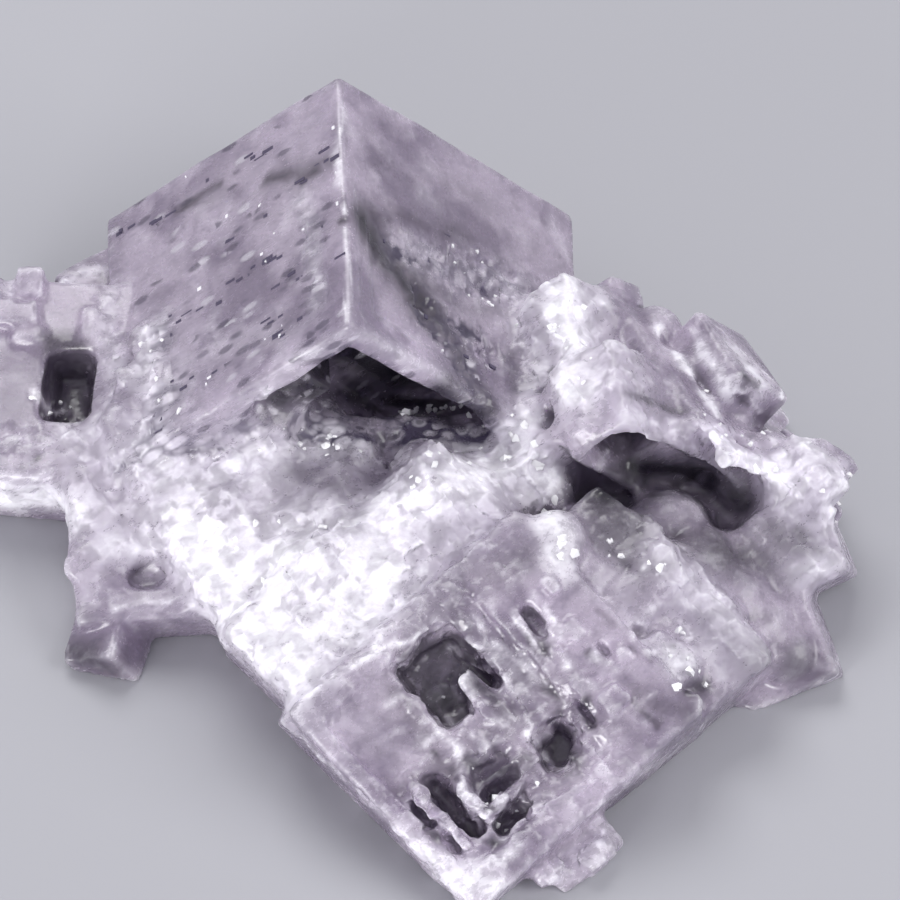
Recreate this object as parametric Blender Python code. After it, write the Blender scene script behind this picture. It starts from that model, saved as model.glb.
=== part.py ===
"""Halite: one cluster of intergrown cubic salt crystals, lying on the flat where it broke from its bed.

Metres, +Z up, the break at Z = 0 with the origin near its middle. The cluster's best side leans back, so
crystals are placed on that sloping "show face", in three lengths from the near corner of the main cube:
across (along +X), up (up the slope) and out (away from the slope, towards somebody looking at it).

A crystal is a box that runs back from its nearest corner. Pits and small crystals are placed on a large
crystal by their distances along its own three edges from that corner, in millimetres, so a negative third
distance is in front of its face. Halite grows fastest along its edges and its faces fill in last, in
steps: those stepped pits are its hoppers.
"""

import math
import random

import bmesh
import bpy
from mathutils import Matrix, Vector

MM = 0.001

# Driving dimensions.
MAIN_EDGES = (9.8, 10.2, 10.6)  # mm: the main cube's ridge, its left edge and its right edge
RIDGE_HEIGHT = 10.4  # mm: the main cube's near corner above the surface that the cluster lies on
NEAR_CORNER = Vector((-1.6, 2.7, RIDGE_HEIGHT)) * MM
SHOW_TILT = math.radians(54)  # how far above the horizon the show face points
EDGE_WEAR = 0.09  # mm: flat worn on the edges of the larger crystals
BED_SIZE = (60, 60, 12)  # mm: the block that trims the cluster off at Z = 0
SEAT_DEPTH = (0.30, 0.62)  # how much of a small crystal is sunk into the face it sits in
TURN_SPREAD = math.radians(7)  # how far small crystals are turned out of line
SALT_COLOUR = (0.40, 0.35, 0.46, 1)
SALT_ROUGHNESS = 0.22
SEED = 7

# The show face's three directions, as columns, in the frame of the part.
SHOW = Matrix(
    (
        (1, 0, 0),
        (0, math.sin(SHOW_TILT), -math.cos(SHOW_TILT)),
        (0, math.cos(SHOW_TILT), math.sin(SHOW_TILT)),
    )
)

# The ways that two of a crystal's edges run, on the show face. The third edge runs back from both.
MAIN_WAY = ((-0.04, 0.80, -0.60), (-0.72, -0.44, -0.54))  # standing on an edge, its ridge running back
SLAB_WAY = ((-0.74, -0.66, 0.14), (0.68, -0.73, 0.15))  # one face nearly flat to the show face
SHOULDER_WAY = ((-0.18, 0.80, -0.57), (-0.72, -0.50, -0.48))  # almost parallel to the main cube
FLANK_WAY = ((-0.42, 0.61, -0.67), (-0.65, -0.72, -0.24))  # leaning out to the right
SPUR_WAY = ((-0.39, 0.91, -0.15), (-0.84, -0.46, -0.12))  # the small free corner low on the right
BLOCK_WAY = ((0.12, 0.88, -0.46), (-0.98, -0.08, -0.10))  # the block on the left
FOOT_WAY = ((-0.06, 0.93, -0.36), (-0.99, -0.08, -0.10))  # the low blocks at the front left
TOE_WAY = ((0.22, 0.86, -0.46), (-0.84, -0.30, -0.44))  # the free corner in front of them
HEART_WAY = ((0.94, 0.28, -0.20), (-0.34, 0.76, -0.55))  # level, its third edge running down
WALL_WAY = ((0.99, 0.08, 0.02), (-0.06, 0.83, -0.55))  # level, along the front left
BACK_WAY = ((0.82, 0.42, -0.39), (-0.57, 0.63, -0.52))  # the low crystals behind the main cube
BEHIND_WAY = ((0.94, -0.25, 0.23), (0.34, 0.74, -0.58))  # the low crystal behind the right side

# The large crystals: near corner on the show face, way, lengths of the three edges (mm).
LARGE = {
    "main": ((0, 0, 0), MAIN_WAY, MAIN_EDGES),
    "slab": ((5.10, -5.56, -1.10), SLAB_WAY, (9.6, 8.7, 8.0)),
    "slab_side": ((7.25, -14.55, -0.60), SLAB_WAY, (2.6, 1.9, 3.0)),
    "middle_apron": ((2.80, -3.30, -3.00), SLAB_WAY, (9.2, 4.4, 6.0)),
    "left_apron": ((-0.30, -3.90, -4.00), SLAB_WAY, (6.4, 4.2, 5.0)),
    "right_apron": ((8.90, -5.60, -2.70), SLAB_WAY, (4.8, 6.3, 6.0)),
    "sill": ((7.72, -4.79, -2.95), SLAB_WAY, (3.0, 4.4, 5.0)),
    "throat": ((6.80, -3.90, -3.90), MAIN_WAY, (2.2, 2.6, 2.8)),
    "shoulder": ((8.59, -2.94, -1.90), SHOULDER_WAY, (3.4, 2.6, 5.6)),
    "flank": ((11.56, -3.77, -2.40), FLANK_WAY, (7.0, 3.4, 6.2)),
    "flank_tip": ((14.70, -4.50, -3.50), FLANK_WAY, (2.2, 2.2, 1.7)),
    "flank_edge": ((12.20, -1.50, -4.60), FLANK_WAY, (3.4, 2.4, 2.4)),
    "under_flank": ((13.90, -7.90, -4.10), SPUR_WAY, (2.3, 5.0, 3.6)),
    "saddle": ((7.20, -0.60, -5.10), SHOULDER_WAY, (3.0, 2.6, 2.8)),
    "edge_low": ((15.38, -7.57, -4.20), SPUR_WAY, (2.2, 1.7, 2.6)),
    "spur": ((15.14, -10.80, -3.70), SPUR_WAY, (3.6, 3.6, 3.4)),
    "left_block": ((-7.60, -4.85, -5.60), BLOCK_WAY, (7.0, 5.0, 5.0)),
    "foot": ((-4.17, -8.85, -3.80), FOOT_WAY, (3.0, 4.4, 4.0)),
    "step": ((-4.00, -7.10, -4.50), FOOT_WAY, (3.6, 4.8, 4.0)),
    "toe": ((-7.45, -10.25, -3.60), TOE_WAY, (2.8, 1.9, 1.9)),
    "left_seam": ((-6.40, -3.10, -5.10), SHOULDER_WAY, (1.8, 1.3, 1.7)),
    "wall_foot": ((-5.60, -7.20, -3.40), WALL_WAY, (11.0, 4.6, 4.4)),
    "heart": ((-2.60, -8.60, -3.80), HEART_WAY, (12.0, 9.5, 4.0)),
    "right_heart": ((6.60, -8.62, -3.87), HEART_WAY, (7.2, 6.2, 3.6)),
    "back_low": ((-1.10, 2.00, -11.4), BACK_WAY, (3.4, 3.2, 3.5)),
    "back_right": ((8.10, -2.40, -9.20), BEHIND_WAY, (3.0, 3.0, 3.0)),
    "back_left": ((-8.20, 0.40, -9.70), BACK_WAY, (2.4, 2.0, 3.0)),
}

# Pits: the crystal it is cut from and the one it is laid out on, which of that one's edges it runs back
# along (0, 1 or 2), start and length along the other two edges in order, how far in front of the face it
# starts and how far behind it its first step ends, then (tread, riser) for each further step (mm).
PITS = (
    ("main", "main", 0, (0.80, 4.5), (0.85, 7.6), (0.6, 0.7), ((0.35, 0.8), (0.45, 1.2))),
    ("main", "main", 1, (0.45, 5.4), (0.55, 7.0), (0.6, 0.12), ((0.9, 0.14),)),
    ("slab", "slab", 2, (2.90, 6.1), (1.00, 6.7), (0.6, 0.35), ()),
    ("slab", "slab", 2, (3.85, 2.5), (1.10, 2.8), (0.7, 1.00), ((0.25, 0.9),)),
    ("slab", "slab", 2, (8.40, 0.45), (4.60, 2.5), (0.65, 0.80), ()),
    ("slab", "slab", 2, (7.30, 0.80), (4.40, 2.6), (0.75, 1.00), ((0.15, 0.3),)),
    ("slab", "slab", 2, (5.50, 1.80), (5.90, 1.6), (0.8, 0.90), ((0.2, 0.4),)),
    ("slab", "slab", 2, (5.10, 1.70), (5.30, 0.40), (0.85, 0.84), ()),
    ("slab", "slab", 2, (3.25, 1.60), (5.60, 1.6), (0.68, 0.95), ((0.3, 0.7),)),
    ("slab", "slab", 2, (2.60, 0.28), (5.70, 1.3), (0.6, 0.80), ()),
    ("slab", "slab", 2, (1.75, 0.50), (2.50, 1.9), (0.6, 0.60), ()),
    ("slab", "slab", 2, (0.90, 0.30), (4.80, 0.9), (0.6, 0.50), ()),
    ("shoulder", "shoulder", 0, (0.28, 2.0), (0.35, 5.0), (0.6, 0.5), ((0.25, 0.8), (0.3, 0.9))),
    ("flank", "shoulder", 0, (-1.05, 4.6), (0.25, 5.6), (3.0, 0.6), ()),
    ("flank", "flank", 2, (3.40, 1.5), (0.50, 0.8), (0.6, 0.40), ()),
    ("left_block", "left_block", 2, (2.10, 2.5), (0.85, 1.6), (0.6, 0.80), ((0.25, 0.8),)),
    ("foot", "foot", 2, (1.00, 1.2), (1.10, 1.6), (0.6, 0.50), ()),
)

# Crystals that grew again inside the pits: crystal, start and length along its three edges (mm).
REGROWN = (
    ("main", (0.70, 3.40, 1.40), (2.6, 2.2, 1.4)),
    ("slab", (4.45, 2.80, 0.15), (0.5, 1.9, 2.6)),
    ("slab", (6.95, 5.10, 0.10), (0.40, 1.75, 2.0)),
    ("slab", (5.85, 6.45, 0.20), (1.45, 0.40, 2.0)),
    ("slab", (8.12, 4.30, 0.05), (0.30, 2.8, 2.0)),
)

# Zones of small crystals: crystal, which edge they are seated at and how far along it, from and to along
# the other two edges, how many, and the least and greatest edge length (mm).
ZONES = (
    ("wall_foot", 2, 0, (0.8, 10.4), (0.8, 4.0), 20, (0.6, 1.2)),
    ("middle_apron", 2, 0, (0.2, 8.8), (0.1, 4.2), 24, (0.6, 1.6)),
    ("middle_apron", 1, 0, (0.2, 8.6), (0.2, 2.0), 8, (0.6, 1.3)),
    ("left_apron", 2, 0, (0.2, 6.0), (0.2, 3.8), 14, (0.5, 1.4)),
    ("right_apron", 2, 0, (0.2, 4.0), (0.4, 5.6), 10, (0.5, 1.3)),
    ("under_flank", 2, 0, (0.2, 1.6), (0.3, 3.6), 5, (0.4, 0.9)),
    ("slab", 2, 0, (0.3, 2.4), (0.5, 8.2), 7, (0.3, 0.8)),
    ("step", 2, 0, (0.2, 3.2), (0.3, 4.4), 8, (0.5, 1.3)),
    ("left_seam", 2, 0, (0.1, 1.6), (0.1, 1.1), 3, (0.4, 0.8)),
    ("main", 2, 0, (1.4, 4.6), (7.8, 9.4), 6, (0.4, 0.8)),
    ("saddle", 2, 0, (0.1, 2.8), (0.1, 2.3), 6, (0.5, 1.1)),
    ("saddle", 1, 0, (0.1, 2.8), (0.1, 2.5), 6, (0.5, 1.1)),
    ("flank_tip", 1, 0, (0.2, 1.8), (0.2, 1.5), 4, (0.4, 0.8)),
    ("flank", 1, 0, (0.4, 6.2), (2.0, 5.8), 12, (0.4, 1.1)),
    ("shoulder", 2, 0, (0.3, 2.7), (0.5, 3.0), 5, (0.4, 0.9)),
    ("left_block", 2, 0, (4.6, 6.6), (0.3, 4.6), 7, (0.5, 1.1)),
    ("foot", 2, 0, (0.3, 3.0), (2.8, 4.4), 5, (0.4, 0.9)),
    ("slab_side", 2, 0, (0.2, 2.2), (0.4, 1.6), 4, (0.4, 0.9)),
    ("main", 0, MAIN_EDGES[0], (3.0, 8.0), (3.0, 8.0), 10, (0.8, 2.0)),
    ("back_low", 2, 0, (0.3, 2.8), (0.3, 2.8), 5, (0.6, 1.4)),
    ("back_right", 2, 0, (0.3, 2.6), (0.3, 2.6), 5, (0.6, 1.3)),
    ("throat", 2, 0, (0.2, 2.0), (0.2, 2.4), 5, (0.4, 0.9)),
)


def show_point(spot):
    """A place on the show face, in millimetres from the near corner, as a point in the frame of the part."""
    return NEAR_CORNER + SHOW @ (Vector(spot) * MM)


def axes_of(way):
    """Three square directions: the first as given, the second as near as it can be, the third beside both."""
    along = (SHOW @ Vector(way[0])).normalized()
    beside = (SHOW @ Vector(way[1])).normalized()
    beside = (beside - along * beside.dot(along)).normalized()
    return along, beside, beside.cross(along)


def box(corner, axes, lengths):
    """A box whose three edges run from one corner (m) along the axes for the given lengths (mm)."""
    middle = corner + sum((axis * length * MM / 2 for axis, length in zip(axes, lengths)), Vector())
    turn = Matrix(axes).transposed().to_4x4()
    size = Matrix.Diagonal([length * MM for length in lengths]).to_4x4()
    bm = bmesh.new()
    bmesh.ops.create_cube(bm, size=1.0, matrix=Matrix.Translation(middle) @ turn @ size)
    bmesh.ops.recalc_face_normals(bm, faces=bm.faces)
    return bm


def on_crystal(name, start):
    """The point at these distances (mm) along a large crystal's three edges, and its axes."""
    corner, way, _ = LARGE[name]
    axes = axes_of(way)
    return show_point(corner) + sum((axis * s * MM for axis, s in zip(axes, start)), Vector()), axes


def terrace(bm, direction, steps):
    """Carries the end face of a box further on in steps, each one narrower all round than the last."""
    face = max(bm.faces, key=lambda candidate: candidate.normal.dot(direction))
    for tread, riser in steps:
        bmesh.ops.inset_individual(bm, faces=[face], thickness=tread * MM, depth=0)
        face = bmesh.ops.extrude_discrete_faces(bm, faces=[face])["faces"][0]
        bmesh.ops.translate(bm, verts=face.verts, vec=direction * riser * MM)


def pit(laid_out_on, back, first, second, reach, steps):
    """The stepped block that cuts one pit into a face of a large crystal."""
    start = [first[0], second[0]]
    start.insert(back, -reach[0])
    lengths = [first[1], second[1]]
    lengths.insert(back, reach[0] + reach[1])
    corner, axes = on_crystal(laid_out_on, start)
    bm = box(corner, axes, lengths)
    terrace(bm, axes[back], steps)
    return bm


def small_crystals(rng, crystal, facing, level, first, second, count, sizes):
    """Small crystals seated in one face of a large one, each turned a little out of line with it."""
    for _ in range(count):
        lengths = [rng.uniform(*sizes) for _ in range(3)]
        seat = rng.uniform(*SEAT_DEPTH) * lengths[facing]
        start = [rng.uniform(*first), rng.uniform(*second)]
        start.insert(facing, level - seat)
        corner, axes = on_crystal(crystal, start)
        turn_about = Vector((rng.gauss(0, 1), rng.gauss(0, 1), 1))
        turn = Matrix.Rotation(rng.gauss(0, TURN_SPREAD), 3, turn_about)
        yield box(corner, [turn @ axis for axis in axes], lengths)


def new_collection(name):
    collection = bpy.data.collections.new(name)
    bpy.context.scene.collection.children.link(collection)
    return collection


def add_object(name, bm, collection):
    mesh = bpy.data.meshes.new(name)
    bm.to_mesh(mesh)
    bm.free()
    mesh_object = bpy.data.objects.new(name, mesh)
    collection.objects.link(mesh_object)
    return mesh_object


def hide(helper):
    """Marks a shape that is joined to the cluster or cut from it, and isn't shown itself."""
    helper.hide_render = True
    helper.display_type = "WIRE"


def add_helper(name, bm, collection):
    hide(add_object(name, bm, collection))


def large_crystal(name, collection):
    """A large crystal with its own pits cut out of it."""
    corner, way, lengths = LARGE[name]
    bm = box(show_point(corner), axes_of(way), lengths)
    bmesh.ops.bevel(bm, geom=bm.edges[:], offset=EDGE_WEAR * MM, affect="EDGES", segments=1, profile=0.5)
    crystal = add_object(name, bm, collection)
    own_pits = [values[1:] for values in PITS if values[0] == name]
    if own_pits:
        pits = new_collection(name + "_pits")
        for values in own_pits:
            add_helper(name + "_pit", pit(*values), pits)
        combine(crystal, "leave_pits", "DIFFERENCE", pits)
    return crystal


def combine(mesh_object, name, operation, collection):
    boolean = mesh_object.modifiers.new(name, "BOOLEAN")
    boolean.operation = operation
    boolean.operand_type = "COLLECTION"
    boolean.collection = collection
    boolean.solver = "EXACT"


def halite_material():
    material = bpy.data.materials.new("halite")
    material.use_nodes = True
    shader = material.node_tree.nodes["Principled BSDF"]
    shader.inputs["Base Color"].default_value = SALT_COLOUR
    shader.inputs["Roughness"].default_value = SALT_ROUGHNESS
    shader.inputs["Metallic"].default_value = 0.0
    return material


def bed_block():
    """What the cluster broke off: a block whose top is at Z = 0."""
    size = Vector(BED_SIZE) * MM
    under = Matrix.Translation((0, 0, -size.z / 2)) @ Matrix.Diagonal(size).to_4x4()
    bm = bmesh.new()
    bmesh.ops.create_cube(bm, size=1.0, matrix=under)
    return bm


def build():
    for mesh_object in list(bpy.data.objects):
        bpy.data.objects.remove(mesh_object)
    cluster_parts = new_collection("halite_cluster")
    grown = new_collection("grown_together")
    bed = new_collection("bed")

    cluster = large_crystal("main", cluster_parts)
    cluster.name = "halite_cluster"
    cluster.data.materials.append(halite_material())
    for name in LARGE:
        if name != "main":
            hide(large_crystal(name, grown))
    for crystal, start, lengths in REGROWN:
        corner, axes = on_crystal(crystal, start)
        add_helper("regrown", box(corner, axes, lengths), grown)
    for number, zone in enumerate(ZONES):
        for bm in small_crystals(random.Random(SEED + number), *zone):
            add_helper("small_crystal", bm, grown)

    add_helper("bed", bed_block(), bed)

    combine(cluster, "grow_together", "UNION", grown)
    cluster.modifiers.new("flat_triangles", "TRIANGULATE")
    combine(cluster, "break_off", "DIFFERENCE", bed)


build()
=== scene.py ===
"""A cluster of intergrown halite crystals, rock salt: clear to milky grey-violet cubes with stepped hollow
faces, sugary white seams where the cubes grew into each other, and a flat broken base that it lies on."""

import math
import random

import bmesh
import bpy
import numpy as np
from mathutils import Matrix, Vector, noise
from mathutils.bvhtree import BVHTree


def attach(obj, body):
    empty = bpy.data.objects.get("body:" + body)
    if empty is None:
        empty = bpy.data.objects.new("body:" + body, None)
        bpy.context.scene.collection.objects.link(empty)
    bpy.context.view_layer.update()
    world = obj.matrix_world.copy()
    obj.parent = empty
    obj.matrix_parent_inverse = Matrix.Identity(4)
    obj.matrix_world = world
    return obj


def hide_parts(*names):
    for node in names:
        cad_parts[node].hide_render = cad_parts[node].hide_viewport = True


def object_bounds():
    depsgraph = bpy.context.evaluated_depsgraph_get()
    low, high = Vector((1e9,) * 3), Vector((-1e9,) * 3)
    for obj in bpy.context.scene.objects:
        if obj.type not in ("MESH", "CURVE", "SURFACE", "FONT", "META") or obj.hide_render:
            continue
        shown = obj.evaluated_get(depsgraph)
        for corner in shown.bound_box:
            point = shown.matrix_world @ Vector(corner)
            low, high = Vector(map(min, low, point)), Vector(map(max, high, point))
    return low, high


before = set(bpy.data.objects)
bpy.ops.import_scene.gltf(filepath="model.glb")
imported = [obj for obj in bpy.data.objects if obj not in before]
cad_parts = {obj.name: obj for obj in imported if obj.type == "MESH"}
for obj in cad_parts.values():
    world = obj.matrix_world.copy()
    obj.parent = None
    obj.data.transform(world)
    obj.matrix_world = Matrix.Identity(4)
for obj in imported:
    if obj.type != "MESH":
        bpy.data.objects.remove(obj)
solid_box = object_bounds()


# -----------------------------------------------------------------------------
# The viewpoint.
# The cluster's best side leans back at 54 degrees, and every spot on it below is given as it is seen from
# there: millimetres across and up from the near corner of the main cube.

MM = 0.001
NEAR_CORNER = Vector((-1.6, 2.7, 10.4)) * MM
SHOW_TILT = math.radians(54)
FRAME_MIDDLE = (3.09, -3.86)
FRAME_WIDTH = 27.8
LENS = 1200
SENSOR = 36

across_way = Vector((1, 0, 0))
up_way = Vector((0, math.sin(SHOW_TILT), math.cos(SHOW_TILT)))
out_way = Vector((0, -math.cos(SHOW_TILT), math.sin(SHOW_TILT)))


def show_plane(across, up):
    """The point at this place on the plane through the near corner that squarely faces the viewer."""
    return NEAR_CORNER + (across_way * across + up_way * up) * MM


camera = bpy.data.objects.new("camera", bpy.data.cameras.new("camera"))
bpy.context.scene.collection.objects.link(camera)
bpy.context.scene.camera = camera
camera.data.lens = LENS
camera.data.sensor_width = SENSOR
camera.data.clip_start = 0.01
camera.data.clip_end = 10
camera.location = show_plane(*FRAME_MIDDLE) + out_way * (FRAME_WIDTH * MM / SENSOR * LENS)
camera.rotation_mode = "QUATERNION"
camera.rotation_quaternion = (-out_way).to_track_quat("-Z", "Y")


# -----------------------------------------------------------------------------
# The salt body.
# One mass of rock salt. The cubes' own faces are nearly flat and satin smooth; where cubes meet, salt grew
# as a soft sugary crust, and the whole is worn and a little dissolved, so no edge is knife sharp.

VOXEL = 0.09
BODY_TRIANGLES = 190000

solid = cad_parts["halite_cluster"]
bm = bmesh.new()
bm.from_mesh(solid.data)
bmesh.ops.remove_doubles(bm, verts=bm.verts, dist=1e-6)
solid_tree = BVHTree.FromBMesh(bm)


def spot(across, up):
    """The point of the cluster's surface that is seen at this place."""
    ray = (show_plane(across, up) - camera.location).normalized()
    hit = solid_tree.ray_cast(camera.location, ray)[0]
    if hit is None:
        hit = solid_tree.find_nearest(show_plane(across, up) - out_way * 4 * MM)[0]
    return hit


# The main cube's own directions, from its near corner: back along its ridge, down its left edge and down
# its right edge. The slab's directions are those of its face.
MAIN_EDGES = (9.8, 10.2, 10.6)
ridge_way = (across_way * -0.04 + up_way * 0.80 + out_way * -0.60).normalized()
left_way = (across_way * -0.72 + up_way * -0.44 + out_way * -0.54).normalized()
left_way = (left_way - ridge_way * left_way.dot(ridge_way)).normalized()
right_way = left_way.cross(ridge_way)
main_ways = Matrix((ridge_way, left_way, right_way))
slab_ways = Matrix((across_way * 0.64 - up_way * 0.77, across_way * 0.77 + up_way * 0.64, out_way))

# Lumps of salt that fill the corners between cubes: a spot, the lump's radius, and how far it stands out
# of the corner, in millimetres.
LUMPS = (
    ((9.42, -0.31), 0.93, 0.12),  # between the shoulder and the flank
    ((10.5, -1.7), 0.93, 0.12),  # between the shoulder and the flank
    ((12.97, -4.02), 0.86, 0.2),  # between the flank and the tip
    ((5.87, -3.09), 0.62, 0.45),  # corner between slab, main cube and shoulder
    ((5.41, -4.11), 0.62, 0.55),  # corner between slab, main cube and shoulder
    ((6.02, -5.34), 0.99, 2.0),  # beside the cave
    ((6.36, -6.64), 0.99, 1.8),  # beside the cave
    ((7.41, -7.72), 0.86, 0.8),  # beside the cave
    ((6.49, -0.15), 1.11, 0.35),  # white shoulder
    ((6.95, -1.85), 0.93, 0.25),  # white shoulder
    ((5.68, -1.85), 0.68, 0.7),  # crevice between the main cube and the shoulder
    ((5.5, -2.69), 0.62, 0.7),  # crevice between the main cube and the shoulder
    ((9.82, -6.33), 1.36, 1.5),  # beside the slab's right edge
    ((10.81, -7.57), 1.42, 1.5),  # beside the slab's right edge
    ((11.74, -8.56), 1.3, 1.3),  # beside the slab's right edge
    ((12.57, -9.42), 1.24, 1.2),  # beside the slab's right edge
    ((13.44, -10.19), 1.05, 0.8),  # beside the slab's right edge
)
for place, radius, stand_out in LUMPS:
    middle = spot(*place) + out_way * (stand_out - radius) * MM
    bmesh.ops.create_icosphere(bm, subdivisions=3, radius=radius * MM, matrix=Matrix.Translation(middle))


def somewhere_along(rng, path, stray):
    """A place picked along a path, straying from it a little."""
    share, leg = math.modf(rng.random() * (len(path) - 1))
    start, end = Vector(path[int(leg)]), Vector(path[min(int(leg) + 1, len(path) - 1)])
    return start.lerp(end, share) + Vector((rng.gauss(0, stray), rng.gauss(0, stray)))


def slight_turn(rng, spread):
    """A turn about any axis, of no more than a few times the spread in radians."""
    angle = rng.gauss(0, spread)
    return Matrix.Rotation(angle, 3, Vector((rng.gauss(0, 1), rng.gauss(0, 1), rng.gauss(0, 1))))


# Small cubes seeded along the seams and the rims of the pits: a path, how many, and the range of their
# sides. Each is sunk in the surface and leans a little from the slab's directions.
SEEDLING_STRAY = 0.12
SEEDLING_LEAN = 0.25
SUNK = 0.2
SEEDLINGS = (
    (((1.61, -10.1), (1.92, -11.96), (3.71, -12.88), (5.1, -12.67)), 12, (0.30, 0.65)),  # deep pit's rim
    (((4.79, -9.73), (6.02, -11.28)), 5, (0.25, 0.5)),  # deep pit's right rim
    (((2.32, -14.52), (2.78, -16.22), (3.71, -16.9)), 8, (0.25, 0.5)),  # slots' rims
    (((3.24, -13.9), (4.02, -15.6)), 7, (0.22, 0.42)),  # between the slots
    (((3.95, -14.12), (5.5, -13.28), (6.02, -14.67), (5.56, -15.97)), 9, (0.25, 0.55)),  # wavy pit
    (((5.87, -12.67), (6.95, -11.96), (7.41, -12.97), (6.64, -13.9)), 7, (0.3, 0.6)),  # three-sided pit
    (((5.5, -8.5), (6.02, -10.19), (6.55, -10.5)), 7, (0.22, 0.5)),  # crevice
    (((-1.24, -11.4), (1.54, -10.04), (3.24, -8.87)), 8, (0.2, 0.45)),  # slab's upper rim
    # ledge under the hollow
    (((-3.09, -3.24), (-0.62, -3.09), (1.54, -3.09), (4.32, -3.55)), 14, (0.3, 0.7)),
    (((-3.71, -6.02), (-1.54, -7.26), (0.93, -6.02), (3.71, -4.79)), 16, (0.3, 0.8)),  # white mass
    (((-7.11, -2.63), (-6.49, -5.1), (-7.11, -7.26)), 12, (0.3, 0.8)),  # seam on the left
    (((8.34, -8.5), (10.19, -10.35), (10.81, -11.58)), 12, (0.3, 0.7)),  # right margin of the slab
    (((10.81, -3.55), (12.67, -6.02), (14.52, -7.26)), 14, (0.3, 0.8)),  # flank
    (((5.25, -2.93), (6.02, -4.48), (6.49, -6.64)), 10, (0.3, 0.7)),  # beside the shoulder
    # lower pits, broken rims
    (((1.92, -14.67), (2.78, -13.9), (3.71, -14.67), (4.32, -15.91)), 12, (0.25, 0.5)),
    # lower pits, broken rims on the right
    (((4.32, -14.37), (5.25, -13.9), (5.87, -14.67), (5.25, -15.6), (4.32, -15.97)), 12, (0.25, 0.5)),
    # deep pit, broken rims
    (((1.54, -10.5), (2.47, -9.73), (3.15, -9.27), (4.02, -9.73), (5.1, -11.28)), 12, (0.25, 0.55)),
)
rng = random.Random(5)
for path, count, sides in SEEDLINGS:
    for _ in range(count):
        place = somewhere_along(rng, path, SEEDLING_STRAY)
        side = rng.uniform(*sides)
        turned = (slab_ways.transposed() @ slight_turn(rng, SEEDLING_LEAN)).to_4x4()
        seat = Matrix.Translation(spot(*place) - out_way * SUNK * side * MM)
        bmesh.ops.create_cube(bm, size=side * MM, matrix=seat @ turned)

# From here on a spot is looked up on the lumps and the small cubes as well.
solid_tree = BVHTree.FromBMesh(bm)
body_mesh = bpy.data.meshes.new("halite_body")
bm.to_mesh(body_mesh)
bm.free()


def apply_modifier(mesh, kind, **settings):
    """The mesh after one modifier, as a mesh of its own."""
    holder = bpy.data.objects.new("holder", mesh)
    bpy.context.scene.collection.objects.link(holder)
    modifier = holder.modifiers.new("shape", kind)
    for name, value in settings.items():
        setattr(modifier, name, value)
    graph = bpy.context.evaluated_depsgraph_get()
    made = bpy.data.meshes.new_from_object(holder.evaluated_get(graph))
    bpy.data.objects.remove(holder)
    return made


def points_of(mesh):
    points = np.empty(len(mesh.vertices) * 3)
    mesh.vertices.foreach_get("co", points)
    return points.reshape(-1, 3)


def move_points(mesh, points):
    mesh.vertices.foreach_set("co", points.ravel())
    mesh.update()


def normals_of(mesh):
    normals = np.empty(len(mesh.vertices) * 3)
    mesh.vertex_normals.foreach_get("vector", normals)
    return normals.reshape(-1, 3)


def soften(mesh, amount, rounds):
    """Moves each point towards the middle of its neighbours, amount of the way, in each round."""
    ends = np.empty(len(mesh.edges) * 2, dtype=np.int64)
    mesh.edges.foreach_get("vertices", ends)
    first, second = ends.reshape(-1, 2).T
    points = points_of(mesh)
    count = len(points)
    shared = np.bincount(first, minlength=count) + np.bincount(second, minlength=count)
    for _ in range(rounds):
        middle = np.empty_like(points)
        for axis in range(3):
            middle[:, axis] = np.bincount(first, points[second, axis], count)
            middle[:, axis] += np.bincount(second, points[first, axis], count)
        middle /= shared[:, None]
        points += (middle - points) * amount[:, None]
    move_points(mesh, points)


body_mesh = apply_modifier(body_mesh, "REMESH", mode="VOXEL", voxel_size=VOXEL * MM, adaptivity=0)

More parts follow.
